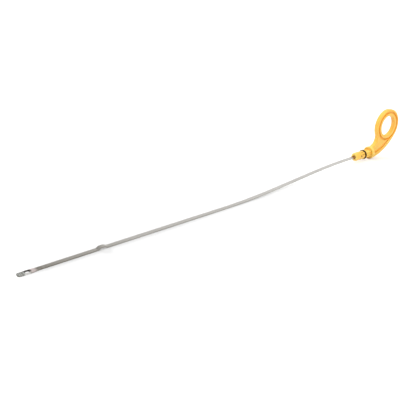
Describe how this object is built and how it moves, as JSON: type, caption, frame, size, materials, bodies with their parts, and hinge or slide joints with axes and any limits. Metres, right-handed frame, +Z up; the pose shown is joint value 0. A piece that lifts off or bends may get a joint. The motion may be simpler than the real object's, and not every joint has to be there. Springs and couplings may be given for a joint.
{
  "type": "engine oil dipstick",
  "caption": "Long flat steel blade with a flattened, holed tip and a kink, moulded into a plastic barrel with a seal ring, a stop flange and an upright finger ring.",
  "frame": {"origin": "Middle of the plain barrel, on its axis.", "axes": "X along the barrel and the blade: the blade runs to -X and the finger ring is at +X. Z up, in the plane of the finger ring. Y across the ring, along the axis of its finger hole. The part lies on the plane z = -8.1 mm."},
  "size_m": [0.5275, 0.0198, 0.0604],
  "materials": {
    "steel": "plain rolled spring steel, satin",
    "plastic": "moulded light orange plastic, semi-gloss",
    "rubber": "black moulded rubber, oily"
  },
  "bodies": {
    "root": {"blade": "steel", "handle": "plastic", "seal_ring": "rubber"}
  },
  "joints": []
}
